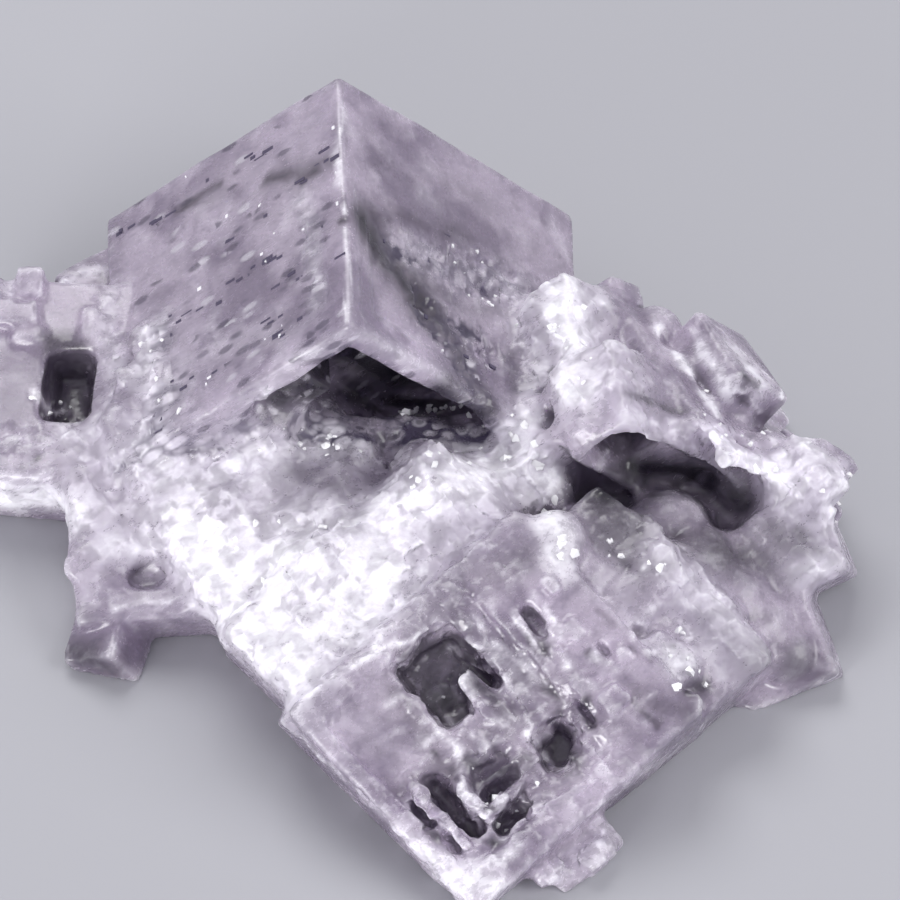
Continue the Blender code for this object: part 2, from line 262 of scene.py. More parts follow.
# Features of the surface, each a stroke laid over it: where it runs, its half width, how far it stands
# proud, and how milky, dark, sugary and soft the salt is along it. Dark is partly the salt's own veils,
# flecks and pockets and partly painted shade in the hollow, the cave, the pits, slots, slits and corners,
# and in the rows named shade or shadow. A few milky rows are painted light: the glint by the arc and the
# left block's white lower face and front rim. What is left out at the end of a row is 0, and lengths are
# in millimetres.
STROKES = (
    # The main cube's left face.
    (((-2.53, 4.42), (-1.54, 4.73), (-0.49, 5.04)), 0.34, 0, 0, 0.72),  # shadow left of the middle edge
    (((-5.31, 3.49), (-4.7, 3.99), (-4.02, 4.36)), 0.15, -0.02, 0, 0.6),  # dark streak
    (((-4.39, 4.42), (-3.4, 5.04)), 0.12, 0, 0, 0.4),  # dark streak, upper
    # clouded band beside the middle edge
    (((-1.39, 4.02), (-1.17, 2.47), (-0.99, 0.77)), 0.4, 0, 0.35, 0, 0.3),
    (((-0.37, 6.8), (-0.28, 5.41), (-0.15, 3.55)), 0.08, 0.03, 0.75),  # middle edge, upper part
    (((-0.03, 2.87), (0.03, 1.24), (0, 0.31)), 0.08, 0.03, 0.65),  # middle edge, lower part
    # The notch's dark is painted shade.
    (((-0.19, 3.31),), 0.22, -0.1, 0, 0.7),  # notch in the middle edge
    (((-6.18, -0.31), (-6.33, -1.39), (-5.72, -2.32)), 0.68, 0.05, 0.55, 0, 0.8, 0.5),  # sugary vein
    # seam with the left block
    (((-7.41, 0.77), (-7.35, -2.32), (-7.11, -4.48)), 0.43, 0, 0.35, 0, 0.5, 0.6),
    (((-6.86, -0.46),), 0.25, -0.05, 0, 0.6),  # dark pocket over the vein
    (((-6.18, -4.17), (-3.09, -2.47), (-0.62, -0.77)), 0.49, 0, 0.15),  # lower band of the face

    # The main cube's right face.
    (((0.49, 3.18), (1.08, 2.16), (2.16, 0.77)), 0.74, -0.03, 0, 0.88),  # dark band
    (((2.16, 0.77), (3.24, -0.62), (3.95, -1.85)), 0.56, -0.03, 0, 0.6, 0.5),  # dark band, lower part
    (((0.86, 5.1),), 0.25, 0, 0, 0.45),  # small dark pocket
    (((1.17, 3.49), (2.32, 3), (3.71, 2.69)), 0.34, 0, 0, 0.3),  # veil
    (((2.16, 1.45), (3.24, 0.71), (4.63, 0.4)), 0.31, 0, 0, 0.32),  # veil
    (((3.71, -0.31), (4.79, -0.83)), 0.34, 0, 0, 0.3),  # veil
    (((3.03, 4.42), (4.32, 3.61)), 0.28, 0, 0, 0.3),  # grey cloud
    (((1.54, 2.16), (3.09, 1.7), (5.25, 1.08)), 0.74, 0.02, 0.35, 0, 0.9),  # grainy patch
    (((2.47, 0.15), (4.02, -0.62)), 0.74, -0.02, 0.1, 0.15, 1),  # pocked patch
    (((3.4, -1.08), (3.86, -2.16)), 0.56, -0.02, 0.2, 0.2, 1),  # pocked patch, lower part

    # The hollow in the main cube, and the ledges below it.
    # hollow's dark wall, painted shade
    (((-2.01, -2.07), (-1.08, -1.45), (0, -0.83), (1.54, -1.64)), 0.8, 0, 0, 0.96, 0, 0.5),
    # hollow's dark back, painted shade
    (((-0.93, -2.26), (0.62, -2.07), (2.16, -2.47), (3.71, -2.87)), 0.49, 0, 0, 0.92, 0, 0.5),
    # The hollow's dark right wall below is painted shade.
    (((1.39, -1.54), (2.78, -2.13), (4.08, -2.75)), 0.62, 0, 0, 0.95, 0, 0.4),  # hollow's dark wall, right
    (((-2.72, -2.38), (-1.54, -2.07), (-0.46, -2.56)), 0.15, 0.1, 0.5, 0, 0, 0.5),  # arched ledge
    (((-3.4, -3.09), (-0.93, -2.93), (1.54, -3.09)), 0.43, 0, 0.1, 0, 0.5, 0.6),  # ledge under the hollow
    (((-0.15, -3.71), (1.54, -3.92), (2.47, -3.24)), 0.56, 0, 0.5, 0, 1, 0.3),  # crumb below the hollow
    # crumb below the hollow, right
    (((2.47, -3.55), (3.71, -3.86), (5.1, -3.55)), 0.56, 0, 0.55, 0, 1, 0.3),

    # The white mass between the main cube and the slab.
    (((-4.48, -6.8), (-3.55, -8.5), (-1.85, -10.81)), 1.17, 0, 1, 0, 0.4, 0.9),  # white mass, left
    (((-1.85, -7.26), (0, -8.19)), 1.92, 0, 0.95, 0, 0.4, 0.9),  # white mass, middle
    # white mass, solid core
    (((-3.55, -8.5), (-2.01, -9.73), (-0.15, -9.27), (1.08, -7.57)), 0.93, 0, 0.8, 0, 0.6, 0.3),
    (((0.93, -6.02), (3.09, -4.79), (5.25, -3.86)), 1.05, 0, 0.8, 0, 0.5, 0.8),  # white mass, right
    (((-4.63, -4.79), (-2.78, -4.02), (-0.62, -3.55)), 0.93, 0, 0.6, 0, 0.7, 0.7),  # white mass, top left
    (((-6.18, -3.55), (-5.87, -5.41), (-4.94, -6.64)), 0.93, 0, 0.55, 0, 0.5, 0.8),  # left seam
    (((-1.85, -4.63), (-0.31, -4.79)), 0.4, -0.03, 0, 0.4, 0, 0.5),  # violet window
    (((-3.24, -8.56), (-2.41, -8.12)), 0.25, 0.04, 0, 0.22),  # small violet crystal
    (((0.25, -7.63),), 0.25, 0.12, 1, 0, 0, 0.5),  # bubble
    # curved rim
    (
        ((-1.85, -11.58), (-0.15, -10.97), (0.99, -9.73), (1.54, -8.5), (2.47, -7.32), (4.02, -6.49)),
        0.14, 0.16, 1, 0, 0, 0.3,
    ),

    # The slab.
    (((-1.54, -11.52), (-0.15, -10.66), (1.54, -9.89), (3.24, -8.87)), 0.11, 0.1, 0.9),  # slab's upper rim
    (((3.71, -8.87), (4.94, -10.19), (6.12, -11.28)), 0.11, 0.05, 0.55),  # pit's right rim
    (((2.32, -8.96), (3.71, -7.88), (5.25, -7.26)), 0.8, 0, 0, 0.28, 0.45, 0.1),  # grey top of the slab
    # The dark of the deep pit, the slots, pits, slits and crevice below is painted shade.
    (((1.92, -10.19), (2.78, -9.89), (4.02, -11.12)), 0.43, 0, 0, 0.5),  # deep pit
    (((4.02, -11.28), (4.63, -11.74)), 0.37, 0, 0, 0.7),  # deep pit, lower end
    (((3.49, -10.94), (3.95, -11.58), (4.48, -12.23)), 0.25, 0.25, 1),  # bar across the deep pit
    (((3.18, -9.98), (3.77, -10.35), (4.36, -10.69)), 0.11, 0.12, 0.9),  # thin bar in the deep pit
    (((4.26, -9.73), (4.88, -10.41), (5.31, -11.15)), 0.31, 0, 0.4, 0, 0.3),  # light wall of the deep pit
    (((1.92, -14.67), (2.47, -15.6), (3.09, -16.37)), 0.22, 0, 0, 0.75),  # slot
    (((2.97, -14.12), (3.4, -14.98), (3.95, -15.76)), 0.28, 0, 0, 0.6),  # wide slot
    (((3.52, -14.06), (4.26, -15.23), (4.88, -14.67)), 0.14, 0.08, 0.45),  # regrown corner
    (((4.63, -15.66), (5.62, -14.67)), 0.37, 0, 0, 0.8),  # pit beside the corner
    (((4.08, -14.21), (5.31, -13.59)), 0.28, 0, 0, 0.65),  # wavy pit
    (((5.87, -12.88), (6.8, -13.59)), 0.46, 0, 0, 0.75),  # three-sided pit
    (((7.26, -11.65), (7.63, -12.57)), 0.15, 0, 0, 0.8),  # slit
    (((5.62, -8.87), (6.02, -10.19)), 0.22, -0.05, 0, 0.6, 0.5),  # crevice
    (((6.24, -9.73), (6.73, -10.6)), 0.19, 0.06, 0.8, 0, 0.5),  # bright chips by the crevice
    (((7.41, -9.98), (7.91, -10.47)), 0.12, -0.05, 0, 0.6),  # short slit
    (((-1.54, -12.67), (0, -14.21), (2.47, -16.68)), 0.37, 0, 0.55, 0, 0.5, 0.2),  # slab's left margin
    (((2.78, -17.15), (4.32, -17.45)), 0.68, 0, 0.85, 0, 0.4, 0.3),  # slab's tip
    (((-0.93, -12.2), (0.93, -12.82)), 0.8, 0, 0.12),  # slab's plain left part
    (((7.72, -8.19), (9.58, -10.04)), 0.56, 0, 0.25, 0, 0, 0.3),  # right margin
    (((10.19, -10.41),), 0.62, 0.04, 0.85, 0, 0.5, 0.5),  # white patch on the right margin
    (((10.5, -11.34), (10.97, -11.15)), 0.22, -0.05, 0, 0.8, 0.6),  # black flecks
    (((8.4, -14.92), (9.73, -13.44), (10.97, -12.26)), 0.19, 0, 0.7),  # lower right strip
    (((6.49, -16.9), (7.41, -16.22), (8.09, -15.85)), 0.49, 0, 0.5, 0, 0.8, 0.2),  # side crystal

    # White blobs between the main cube, the slab and the right side.
    (((6.55, -7.14),), 0.68, 0.12, 1, 0, 0, 0.6),  # blob
    (((6.05, -4.73), (6.12, -5.87)), 0.62, 0.1, 0.9, 0, 0, 0.6),  # tall blob
    (((5, -4.23), (5.87, -4.05)), 0.25, 0.08, 0.9, 0, 0, 0.6),  # small blobs
    (((5.68, -2.97),), 0.31, 0.08, 1, 0, 0, 0.6),  # round blob

    # The right side: shoulder, hood and cave, flank, spur. The dark of the cave, its floor and its pits is
    # painted shade.
    (((6.49, 1.14), (6.73, -0.46), (6.95, -2.01)), 0.8, 0, 1, 0, 0.7, 0.8),  # white shoulder
    (((7.72, 1.08), (8.09, -0.46)), 0.43, 0, 0.4, 0, 0.3, 0.6),  # shoulder's right margin
    (((8.59, -2.13), (9.42, -2.32), (10.19, -2.69)), 0.28, -0.12, 0, 0.6, 0, 0.3),  # lens pit
    # line under the lens pit
    (((8.71, -2.81), (10.19, -3.12), (11.49, -3.61)), 0.11, 0.04, 0.7, 0, 0, 0.3),
    # hood's edge
    (
        ((7.63, -4.54), (7.97, -3.86), (9.11, -3.43), (10.66, -3.61), (12.11, -4.85)),
        0.12, 0.08, 0.5, 0, 0, 0.5,
    ),
    (((7.88, -5.16), (9.27, -4.42), (10.81, -4.66), (12.3, -5.47)), 0.68, 0, 0, 1, 0, 0.3),  # cave
    (((8.34, -6.02), (10.81, -7.11), (12.67, -7.41)), 0.8, 0, 0, 0.42, 0.2, 0.5),  # cave floor
    (((7.41, -6.64), (8.34, -7.2), (9.42, -7.63)), 0.15, -0.05, 0, 0.4, 0, 0.3),  # growth arc in the cave
    # Painted highlight: the glint by the arc is painted white.
    (((9.05, -7.51),), 0.15, 0.06, 1),  # glint by the arc
    (((13.04, -6.27), (13.9, -6.89)), 0.4, -0.06, 0, 0.45, 0.5, 0.3),  # grey pit
    (((9.33, 0), (10.26, -1.27), (11.24, -2.75)), 0.19, 0.08, 1, 0, 0, 0.4),  # first streak
    (((10.81, -0.62), (11.74, -2.07)), 0.28, 0.05, 0.9, 0, 0.3, 0.4),  # second streak
    (((11.89, -0.77), (13.59, -2.47), (14.52, -4.02)), 0.49, 0, 0.65, 0, 0.3, 0.6),  # outer flank
    (((11.43, -3.55), (13.59, -4.79)), 0.74, 0, 0.85, 0, 0.6, 0.8),  # flank, middle
    (((15.29, -4.79), (14.98, -5.72)), 0.56, 0, 0.75, 0, 0.6, 0.6),  # right tip
    (((13.9, -7.72), (14.98, -7.26)), 0.43, 0, 0.6, 0, 0.6, 0.6),  # below the right tip
    (((12.23, -9.18), (12.97, -9.05)), 0.12, -0.03, 0, 0.5),  # spur's fleck
    (((12.67, -10.35), (13.9, -10.5), (14.67, -10.97)), 0.8, 0, 0, 0.3),  # spur's cloud
    (((11.89, -11.83), (12.97, -12.08), (14.98, -10.91)), 0.15, 0, 0.5),  # spur's lower edge

    # The left block, and the low blocks in front of it.
    (((-10.81, 1.08), (-8.96, 1.33), (-7.57, 1.64)), 0.31, 0, 0.5, 0, 0.4, 0.3),  # block's top edge
    # block's pit, painted shade
    (((-9.27, -0.77), (-8.34, -0.62), (-8.4, -2.32), (-9.11, -2.47)), 0.43, 0, 0, 0.6, 0, 0.35),
    (((-9.73, -2.16), (-9.27, -2.63)), 0.19, 0.06, 0.8),  # chips in the pit
    (((-10.5, -3.55), (-8.03, -3.55)), 0.56, 0, 0.15, 0.1, 0.8, 0.3),  # block's rough lower part
    (((-10.01, -4.29), (-9.58, -4.05)), 0.12, -0.05, 0, 0.7),  # black fleck
    # Painted light: the block's lower face is painted white as if lit from below.
    (((-10.97, -5.34), (-8.96, -5.34)), 0.8, 0, 1, 0, 0.3, 0.3),  # block's white lower face
    (((-7.41, -6.8), (-5.87, -6.8), (-4.94, -6.33)), 0.43, 0, 0.6, 0, 0.4, 0.6),  # white blotches
    # The foot's pit below is painted dark as shade.
    (((-6.61, -7.51), (-5.41, -7.26), (-6.18, -8.03)), 0.28, -0.05, 0, 0.45),  # foot's pit
    # foot's bright lines
    (((-7.48, -8.19), (-7.35, -8.87), (-6.33, -8.65), (-5.1, -8.43)), 0.12, 0.04, 0.6),
    (((-7.88, -7.11), (-8.19, -8.5)), 0.56, 0, 0.05, 0.05, 0.3, 0.5),  # step
    # The toe's dark corner below is painted shade.
    (((-8.5, -10.04), (-7.88, -10.41), (-7.35, -10.6)), 0.62, 0, 0, 0.6, 0.2),  # toe's dark corner
    (((2.16, -10.97), (4.63, -13.44), (7.11, -13.44)), 2.78, 0, 0, 0, 0.45, 0.1),  # slab's worn face
    # crust on the right of the slab
    (((8.96, -6.64), (10.81, -8.5), (12.2, -10.04)), 1.24, 0, 0.12, 0, 0.45, 0.8),

    # Where the crust is melted together, with no feature of its own.
    # melted crust under the main cube
    (((-4.63, -5.41), (-2.78, -7.26), (-0.62, -6.64)), 2.16, 0, 0.2, 0, 0.6, 1),
    # melted crust, right part
    (((1.54, -5.1), (3.09, -3.86), (4.94, -4.79), (3.09, -6.02)), 1.54, -0.1, 0.1, 0, 0.6, 1),
    # melted crust on the right
    (((7.11, -0.15), (8.96, -2.93), (13.28, -4.79)), 1.54, 0, 0.1, 0, 0.4, 0.8),
    (((14.52, -5.1), (14.52, -7.26)), 1.24, 0, 0.1, 0, 0.4, 0.8),  # melted tip
    (((-8.03, -3.55), (-7.72, -6.02)), 1.24, 0, 0.1, 0, 0.4, 0.8),  # melted left margin

    # Within the slab's pits, and the shade between them.
    (((3.71, -9.73), (4.63, -10.72), (5.25, -11.58)), 0.12, 0.08, 0.7),  # veil in the deep pit
    (((2.16, -12.26), (3.09, -12.14), (3.71, -12.67)), 0.12, 0.08, 0.7),  # veil on the deep pit's floor
    # Painted shade on the deep pit's floor.
    (((3.24, -9.27), (4.32, -9.73), (5.25, -10.97)), 0.43, 0, 0, 0.3),  # smooth floor of the deep pit
    (((3.71, -12.67), (5.25, -12.2), (6.49, -12.67)), 0.56, 0, 0, 0.3),  # shade under the deep pit
    (((2.66, -14.52), (3.15, -15.6), (3.71, -16.77)), 0.12, 0.06, 0.8),  # rim between the slots
    (((3.46, -13.69), (3.95, -13.9)), 0.15, 0.05, 0.7),  # rim over the wide slot
    (((2.78, -14.37), (4.63, -13.75)), 0.68, 0, 0, 0.25),  # shade round the slots
    # zigzag in the pit
    (((4.63, -14.67), (5.1, -15.04), (5.72, -14.52), (6.02, -14.83)), 0.12, 0.08, 0.5),
    # white rays under the slots
    (((3.71, -17.15), (4.32, -16.53), (5.25, -16.22)), 0.25, 0.03, 0.7, 0, 0.3),
    # three-sided pit's rim
    (((5.56, -12.76), (6.18, -13.59), (6.73, -14.06), (7.26, -13.13)), 0.12, 0.06, 0.6),
    # grey strip below the right margin
    (((8.96, -11.58), (10.19, -12.05), (10.81, -11.28)), 0.37, 0, 0, 0.35),
    # Painted shade in the cave floor's near corner.
    (((7.26, -5.87), (8.03, -6.8), (8.96, -7.72)), 0.62, 0, 0, 0.35, 0, 0.4),  # cave floor's near corner
    # shade in the middle of the slab
    (((5.25, -10.04), (6.49, -11.58), (7.72, -12.2)), 0.8, 0, 0, 0.28, 0.2),
    (((5.1, -8.8), (5.56, -9.73), (6.12, -10.6)), 0.12, 0.1, 0.7),  # ridges beside the crevice
    (((6.12, -8.87), (6.64, -9.73)), 0.11, 0.08, 0.6),  # ridge beside the crevice
    # white haze on the shoulder's left
    (((5.25, 0.77), (5.56, -0.77), (6.02, -2.32)), 0.49, 0, 0.7, 0, 0.4, 0.3),
    (((-5.25, -1.08), (-3.4, -0.46), (-1.54, -0.15)), 0.43, 0, 0.15),  # haze of the left face's low corner
    (((10.5, -0.15), (12.05, -2.01), (12.97, -3.24)), 0.12, 0.08, 0.8),  # fine ridge on the flank
    (((11.43, -0.15), (13.28, -2.01), (13.9, -3.24)), 0.11, 0.07, 0.6),  # fine ridge on the outer flank
    # Painted shade in the pit in the flank's white.
    (((13.9, -6.33), (14.52, -6.8)), 0.31, -0.1, 0, 0.5, 0.4),  # pit in the flank's white
    (((-2.53, -2.38), (-1.54, -2.19), (-0.56, -2.26)), 0.46, 0, 0, 0.6, 0, 0.3),  # lens under the hollow
    (((-2.9, -2.44), (-1.85, -1.88), (-0.62, -1.95)), 0.12, -0.05, 0, 0.7),  # lens's dark outline
    (((-2.01, -2.38), (-1.39, -2.26), (-0.68, -2.29)), 0.09, 0.05, 0.7),  # inner arc of the lens
    (((1.54, -3.09), (2.78, -3.31), (4.02, -3.24)), 0.37, 0, 0, 0.6, 0.4),  # glassy slope under the slot
    (((1.3, -11.28), (1.7, -12.05), (2.47, -12.67)), 0.4, 0, 0, 0.35),  # shade left of the deep pit
    (((1.54, -14.37), (2.16, -13.9), (3.09, -13.59)), 0.37, 0, 0, 0.3),  # shade over the slots
    # grey seam beside the shoulder
    (((4.79, -0.62), (5.1, -2.16), (5.41, -3.24)), 0.25, -0.04, 0, 0.3, 0.4),
    (((-8.4, -8.8), (-7.72, -9.73), (-6.8, -10.04)), 0.43, 0, 0, 0.22),  # step's shadow
    (((5.68, -1.7), (5.5, -3.09)), 0.43, 0, 0.5, 0, 0.5, 0.5),  # crust in the crevice by the shoulder
    (((-5.25, 3.71), (-3.71, 4.17)), 0.28, 0, 0, 0.3),  # soft shade on the left face
    (((-2.47, -0.46), (-1.85, 0)), 0.28, 0, 0, 0.3),  # shade low on the left face
    (((-0.15, -0.37), (-1.54, -1.24), (-3.03, -2.32)), 0.28, 0, 0.3),  # pale band over the hollow, left
    (((0.37, -0.37), (2.16, -1.27), (4.08, -2.38)), 0.28, 0, 0.3),  # pale band over the hollow, right
    # left block's front rim, painted white as if lit from below
    (((-10.81, -5.16), (-9.73, -5.28), (-8.5, -5.78)), 0.74, 0, 1, 0, 0.3, 0.6),
    # slope beside the slab's right edge
    (((9.42, -6.8), (10.66, -8.19), (11.74, -9.27)), 0.74, 0, 0.12, 0.12, 0.5, 0.4),
    # slab's right edge, worn
    (((8.5, -5.56), (9.73, -7.11), (11.28, -8.5), (12.82, -10.19)), 0.49, 0, 0.22, 0, 0.6, 0.7),
    (((3.49, -14.27), (4.02, -15.45)), 0.15, 0.14, 0.9),  # sliver at the lower pits
    (((2.29, -14.67), (3.15, -16.28)), 0.11, 0.12, 0.85),  # sliver at the lower pits
    (((5.5, -12.67), (6.02, -13.19)), 0.15, 0.14, 0.9),  # sliver at the three-sided pit
    # dark foot of the lower pits, painted shade
    (((3.83, -15.79), (4.63, -15.85), (5.38, -15.35)), 0.19, -0.12, 0, 0.75),
    # broken rims of the lower pits
    (((2.32, -14.67), (4.02, -14.67), (5.56, -14.67)), 1.17, 0, 0, 0, 0.7),
    (((1.54, -10.5), (3.15, -9.27), (5.25, -11.28)), 0.74, 0, 0, 0, 0.6),  # broken rims of the deep pit
    (((2.78, -13.59), (4.63, -13.75), (6.02, -14.06)), 0.68, 0, 0, 0.25),  # shade round the lower pits
    (((8.65, -6.27), (10.19, -6.49), (11.89, -7.11)), 0.68, 0, 0, 0.34),  # shade below the cave
    (((12.82, -10.04), (13.9, -10.66)), 0.8, 0, 0, 0.22),  # shade on the spur
    # crumb in the crack under the hollow
    (((1.39, -3.31), (2.78, -3.18), (4.26, -3.46)), 0.34, 0.08, 0.8, 0, 0.8),
)

# Growth lines: fine ridges and grooves, square with the cube they are on. The middle of each patch of
# them, how far they stray from it, how many there are, and the way they run.
GROWTH_LINES = (
    ((4.02, -12.36), 1.9, 30, (0.62, -0.78)),  # slab, among the pits
    ((6.49, -9.73), 1.3, 10, (0.62, -0.78)),  # slab, upper part
    ((9.27, -10.04), 1.2, 12, (0.70, -0.71)),  # right margin of the slab
    ((12.05, -2.32), 1.4, 14, (0.58, -0.81)),  # flank
    ((9.42, -7.11), 1.1, 9, (0.85, -0.52)),  # cave floor
    ((-8.96, -3.24), 1.2, 8, (0.97, 0.22)),  # left block
    ((-1.54, -3.55), 2.0, 12, (0.97, 0.22)),  # crust under the hollow
)
GROWTH_LENGTH = (0.3, 1.1)
GROWTH_WIDTH = (0.08, 0.16)
GROWTH_HEIGHT = 0.05
GROWTH_BEND = 0.06
ALONG_THE_WAY = 0.7

rng = random.Random(14)
for middle, stray, count, way in GROWTH_LINES:
    way = Vector(way)
    for _ in range(count):
        start = Vector(middle) + Vector((rng.gauss(0, 0.6), rng.gauss(0, 0.6))) * stray
        run = (way if rng.random() < ALONG_THE_WAY else way.orthogonal()) * rng.uniform(*GROWTH_LENGTH)
        if rng.random() < 0.5:
            values = (GROWTH_HEIGHT, rng.uniform(0.35, 0.8), 0)
        else:
            values = (-GROWTH_HEIGHT, 0, rng.uniform(0.3, 0.65))
        bend = start + run * 0.5 + way.orthogonal() * rng.gauss(0, GROWTH_BEND)
        path = (tuple(start), tuple(bend), tuple(start + run))
        STROKES += ((path, rng.uniform(*GROWTH_WIDTH), *values),)

# A stroke fades out like a bell, and has nothing left at three times its half width.
STROKE_REACH = 3


def from_path(points, stops):
    """Each point's distance from a line that joins the stops, in millimetres."""
    nearest = np.full(len(points), 1e9)
    for start, end in zip(stops, stops[1:] if len(stops) > 1 else stops):
        run = end - start
        share = np.clip((points - start) @ run / max(run @ run, 1e-9), 0, 1)
        nearest = np.minimum(nearest, np.linalg.norm(points - start - share[:, None] * run, axis=1))
    return nearest


def lay_strokes(points):
    """How far proud, milky, dark, sugary and soft each point is; dark holds the salt's own dark and painted
    shade.
    """
    points = points / MM
    laid = np.zeros((5, len(points)))
    for path, width, *values in STROKES:
        stops = np.array([spot(*place) for place in path]) / MM
        reach = STROKE_REACH * width
        low, high = stops.min(axis=0) - reach, stops.max(axis=0) + reach
        close = np.flatnonzero(((points > low) & (points < high)).all(axis=1))
        near = np.exp(-((from_path(points[close], stops) / width) ** 2))
        laid[0, close] += near * values[0]
        for row, value in enumerate(values[1:], start=1):
            laid[row, close] = 1 - (1 - laid[row, close]) * (1 - near * value)
    return laid


def far_side(normals):
    """1 behind and below, falling to 0 where the surface faces the viewer."""
    return np.clip(0.6 - 1.2 * normals @ np.array(out_way), 0, 1)


def standing_out(mesh, amount, rounds):
    """How far each point stands out of the mesh as it would be after softening, in millimetres."""
    smooth = mesh.copy()
    soften(smooth, np.full(len(mesh.vertices), amount), rounds)
    above = ((points_of(mesh) - points_of(smooth)) * normals_of(mesh)).sum(axis=1) / MM
    bpy.data.meshes.remove(smooth)
    return above


# Seen from behind, the crust follows the seams, which lie deeper than the surface round them.
SEAM_DEPTH = 0.12
SEAM_SOFTNESS = 0.8


def seams(mesh):
    """How deep in a seam each point on the far side is, from 0 to 1."""
    return np.clip(-standing_out(mesh, 0.6, 30) / SEAM_DEPTH, 0, 1) * far_side(normals_of(mesh))


# Where salt grew as a crust it fills the cracks between the cubes: the surface is swelled, joined up again
# and drawn back, then melted smooth, a little everywhere and much more where it is soft.
CRUST_FILL = 0.34
MELTING = ((0.10, 0.60, 4), (0.0, 0.65, 110))

soft = np.maximum(lay_strokes(points_of(body_mesh))[4], seams(body_mesh))
move_points(body_mesh, points_of(body_mesh) + normals_of(body_mesh) * (CRUST_FILL * MM * soft)[:, None])
body_mesh = apply_modifier(body_mesh, "REMESH", mode="VOXEL", voxel_size=VOXEL * MM, adaptivity=0)
proud, _, _, sugary, soft = lay_strokes(points_of(body_mesh))
seamed = seams(body_mesh)
soft = np.maximum(soft, SEAM_SOFTNESS * seamed)
sugary = np.maximum(sugary, seamed)
move_points(body_mesh, points_of(body_mesh) - normals_of(body_mesh) * (CRUST_FILL * MM * soft)[:, None])
for everywhere, where_soft, rounds in MELTING:
    soften(body_mesh, everywhere + where_soft * soft, rounds)


def in_main_cube(points):
    """1 in the main cube and on its faces, falling to 0 a quarter of a millimetre outside."""
    inside = (points - np.array(NEAR_CORNER)) @ np.array(main_ways).T / MM
    outside = np.maximum(0, np.maximum(-inside, inside - np.array(MAIN_EDGES))).max(axis=1)
    return np.clip(1 - outside / 0.25, 0, 1)


# Sugary salt is a crowd of small blocks, square with the cube they grew on, each shifted a little; smooth
# faces are only faintly uneven, and where the salt was dissolved it wanders. The pairs are a size and a
# shift, in millimetres. Clean faces have the first share of the wander, and softness adds up to the second.
BLOCKS = ((0.75, 0.20), (0.36, 0.12))
SWELL = 1.6
SWELL_HEIGHT = 0.035
WANDER = ((1.5, 0.10), (0.55, 0.04))
WANDER_SHARES = (0.12, 1.2)

points = points_of(body_mesh)
normals = normals_of(body_mesh)
lift = proud.copy()
wander = np.zeros_like(points)
shifted = np.zeros_like(points)
square_with = np.where(in_main_cube(points) > 0.5, 0, 1)
for number, point in enumerate(points):
    place = Vector(point) / MM
    lift[number] += SWELL_HEIGHT * noise.noise(place / SWELL)
    for length, width in WANDER:
        wander[number] += np.array(noise.noise_vector(place / length)) * width
    if sugary[number] > 0.05:
        square = (main_ways, slab_ways)[square_with[number]] @ place
        for side, shift in BLOCKS:
            shifted[number] += (np.array(noise.cell_vector(square / side)) - 0.5) * shift
wander *= (WANDER_SHARES[0] + WANDER_SHARES[1] * soft)[:, None]
wander += shifted * np.minimum(1, 1.6 * sugary)[:, None]
move_points(body_mesh, points + (normals * lift[:, None] + wander) * MM)
soften(body_mesh, 0.12 + 0.3 * np.minimum(1, sugary), 2)

kept_share = BODY_TRIANGLES / (2 * len(body_mesh.polygons))
body_mesh = apply_modifier(body_mesh, "DECIMATE", ratio=kept_share, use_collapse_triangulate=True)
move_points(body_mesh, np.clip(points_of(body_mesh), np.array(solid_box[0]), np.array(solid_box[1])))
body_mesh.shade_smooth()


def tree_of(mesh):
    """The mesh's faces as a tree to cast rays at."""
    return BVHTree.FromPolygons([v.co for v in mesh.vertices], [p.vertices for p in mesh.polygons])


# How enclosed each point is sets the painted shade in the hollows, further on.
HOLLOW_REACH = 3.0
HOLLOW_RAYS = 14
HOLLOW_CLEARANCE = 0.05


def hollow(mesh):
    """How enclosed each point is: the share of short rays from it that meet salt again."""
    tree = tree_of(mesh)
    rng = random.Random(3)
    ways = [Vector([rng.gauss(0, 1) for _ in range(3)]).normalized() for _ in range(HOLLOW_RAYS)]
    met = np.zeros(len(mesh.vertices))
    for number, vertex in enumerate(mesh.vertices):
        start = vertex.co + vertex.normal * HOLLOW_CLEARANCE * MM
        for way in ways:
            ray = (way + vertex.normal * 1.1).normalized()
            if tree.ray_cast(start, ray, HOLLOW_REACH * MM)[0] is not None:
                met[number] += 1
    return met / HOLLOW_RAYS


# The colour features fray out at their borders, by these lengths and widths in millimetres. Over them lie
# broad clouds, small curds that are half rounded and half square, and thin threads.
FRAY = ((1.3, 0.30), (0.45, 0.14))
CLOUD = 2.6
CURD = 0.9
CURD_BLOCK = 0.36
THREAD = 1.5

enclosed = hollow(body_mesh)
points = points_of(body_mesh)
normals = normals_of(body_mesh)
on_main_cube = in_main_cube(points)
frayed = points.copy()
clouds, curds, threads = np.empty((3, len(points)))
square_with = np.where(on_main_cube > 0.5, 0, 1)
for number, point in enumerate(points):
    place = Vector(point) / MM
    for length, width in FRAY:
        frayed[number] += np.array(noise.noise_vector(place / length)) * width * MM
    clouds[number] = noise.fractal(place / CLOUD, 0.7, 2.0, 5)
    square = (main_ways, slab_ways)[square_with[number]] @ place
    rounded = noise.fractal(place / CURD, 0.6, 2.1, 4)
    curds[number] = 0.6 * rounded + 0.5 * (noise.cell(square / CURD_BLOCK) - 0.5)
    threads[number] = abs(noise.fractal(place / THREAD + Vector((2, 9, 4)), 0.8, 2.0, 3))

# Edges that stand out are worn white, less so on the main cube.
EDGE_WEAR = 0.05
worn = np.clip(standing_out(body_mesh, 0.5, 8) / EDGE_WEAR - 0.3, 0, 1) * (1 - 0.6 * on_main_cube)

